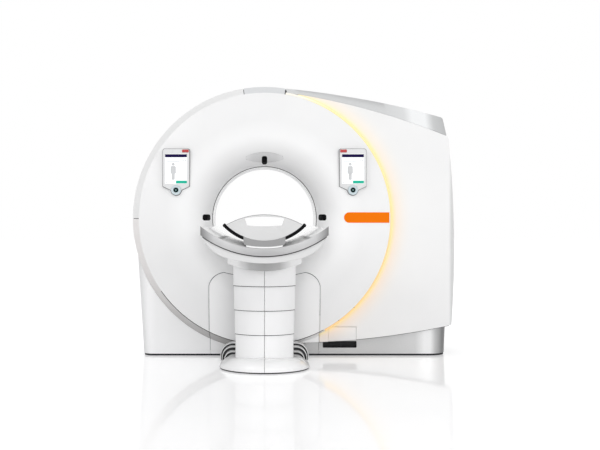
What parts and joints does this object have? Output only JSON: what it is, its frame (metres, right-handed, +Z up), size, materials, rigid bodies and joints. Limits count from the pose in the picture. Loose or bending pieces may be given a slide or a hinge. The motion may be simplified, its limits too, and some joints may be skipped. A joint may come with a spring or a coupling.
{
  "type": "ct scanner",
  "caption": "CT scanner: round gantry with a patient tunnel and turning ring of tubes and detectors, side cabinet cover, and a lifting table whose board slides into the tunnel.",
  "frame": {"origin": "floor, under the bore's axis in the scan plane, at the underside of the middle levelling foot", "axes": "+Z up, +Y along the bore from the table to the rear, +X to the right seen from the table"},
  "size_m": [2.3826, 3.186, 2],
  "materials": {
    "white_cover": "smooth white moulded cover with a soft gloss",
    "silver_cover": "satin silver paint",
    "collar_paint": "satin light grey paint",
    "tunnel_white": "smooth white liner",
    "window_film": "clear film ring",
    "light_diffuser": "warm translucent diffuser",
    "laser_black": "black tinted window",
    "lens_grey": "grey translucent lens",
    "badge_orange": "orange plate, bare",
    "panel_grey": "light grey housing",
    "screen_glass": "lit touch screen",
    "stop_red": "red push button",
    "dial_ring": "pale blue-grey ring with a dark centre",
    "recess_black": "glossy black recess",
    "flap_white": "white flap",
    "steel_frame": "dark grey powder coat on welded steel",
    "bare_steel": "machined steel",
    "copper_coil": "lacquered windings",
    "brush_grey": "brush holder",
    "tube_metal": "cast housing",
    "detector_dark": "dark detector housing",
    "unit_grey": "sheet metal boxes",
    "column_white": "white telescoping cover",
    "foot_white": "white foot cover",
    "seal_black": "black seal",
    "cradle_white": "white trough",
    "cradle_silver": "satin silver band",
    "hull_grey": "light grey hull",
    "neck_grey": "grey cover",
    "board_carbon": "black carbon fibre",
    "cap_grey": "light grey end cap",
    "carriage_grey": "grey carriage"
  },
  "bodies": {
    "gantry": {"base_frame": "steel_frame", "levelling_feet": "bare_steel", "stator_frame": "steel_frame", "bearing_outer_ring": "bare_steel", "stator_coils": "copper_coil", "brush_block": "brush_grey", "tunnel_liners": "tunnel_white", "scan_window": "window_film", "front_cover": "white_cover", "laser_windows": "laser_black", "display_lens": "lens_grey", "collar_top_cover": "silver_cover", "collar_left_cover": "collar_paint", "collar_lower_cover": "collar_paint", "front_lower_panel": "white_cover", "leg_cover": "white_cover", "wing_cover": "white_cover", "flap_hinge_pin": "bare_steel", "top_band_cover": "silver_cover", "plinth_cover": "silver_cover", "recess_pocket": "recess_black", "rear_cover": "white_cover", "light_ring": "light_diffuser", "badge_plate": "badge_orange", "panel_housings": "panel_grey", "panel_screens": "screen_glass", "column_tier_d": "column_white", "lift_stage_one": "bare_steel", "table_base": "steel_frame", "toe_cover": "foot_white", "foot_covers": "foot_white", "foot_seals": "seal_black"},
    "rotor": {"rotor_drum": "steel_frame", "bearing_inner_ring": "bare_steel", "rotor_magnets": "bare_steel", "slip_ring": "bare_steel", "xray_tube_a": "tube_metal", "xray_tube_b": "tube_metal", "detector_a": "detector_dark", "detector_b": "detector_dark", "rotor_power_units": "unit_grey"},
    "tier_c": {"column_tier_c": "column_white", "lift_stage_two": "bare_steel"},
    "tier_b": {"column_tier_b": "column_white", "lift_stage_three": "bare_steel"},
    "table_top": {"column_tier_a": "column_white", "cradle_saddle": "cradle_white", "cradle_band": "cradle_silver", "cradle_hull": "hull_grey", "neck_cover": "neck_grey", "table_top_frame": "steel_frame", "slide_roller": "bare_steel"},
    "board": {"board_shell": "board_carbon", "board_end_cap": "cap_grey", "board_carriage": "carriage_grey"},
    "stop_left": {"stop_button_left": "stop_red"},
    "stop_right": {"stop_button_right": "stop_red"},
    "dial_left_body": {"dial_left": "dial_ring"},
    "dial_right_body": {"dial_right": "dial_ring"},
    "flap": {"service_flap": "flap_white"}
  },
  "joints": [
    {"name": "rotor_spin", "type": "hinge", "parent": "gantry", "child": "rotor", "pos_m": [0, 0, 1.02], "axis": [0, 1, 0], "continuous": true},
    {"name": "table_lift", "type": "slide", "parent": "gantry", "child": "table_top", "axis": [0, 0, 1], "range_m": [-0.42, 0]},
    {"name": "tier_b_lift", "type": "slide", "parent": "gantry", "child": "tier_b", "axis": [0, 0, 1], "range_m": [-0.281, 0.001]},
    {"name": "tier_c_lift", "type": "slide", "parent": "gantry", "child": "tier_c", "axis": [0, 0, 1], "range_m": [-0.141, 0.001]},
    {"name": "board_slide", "type": "slide", "parent": "table_top", "child": "board", "axis": [0, 1, 0], "range_m": [0, 1.7]},
    {"name": "stop_left_press", "type": "slide", "parent": "gantry", "child": "stop_left", "axis": [0, 1, 0], "range_m": [0, 0.003], "stiffness_N_per_m": 2000},
    {"name": "stop_right_press", "type": "slide", "parent": "gantry", "child": "stop_right", "axis": [0, 1, 0], "range_m": [0, 0.003], "stiffness_N_per_m": 2000},
    {"name": "dial_left_turn", "type": "hinge", "parent": "gantry", "child": "dial_left_body", "pos_m": [-0.64, -0.506, 1.226], "axis": [0, 1, 0], "range_deg": [-45, 45], "stiffness_Nm_per_rad": 0.5},
    {"name": "dial_right_turn", "type": "hinge", "parent": "gantry", "child": "dial_right_body", "pos_m": [0.64, -0.506, 1.226], "axis": [0, 1, 0], "range_deg": [-45, 45], "stiffness_Nm_per_rad": 0.5},
    {"name": "flap_swing", "type": "hinge", "parent": "gantry", "child": "flap", "pos_m": [0.674, -0.329, 0.175], "axis": [0, 0, 1], "range_deg": [0, 75]}
  ],
  "couplings": [
    {"joint": "tier_b_lift", "follows": "table_lift", "ratio": 0.66667},
    {"joint": "tier_c_lift", "follows": "table_lift", "ratio": 0.33333}
  ]
}
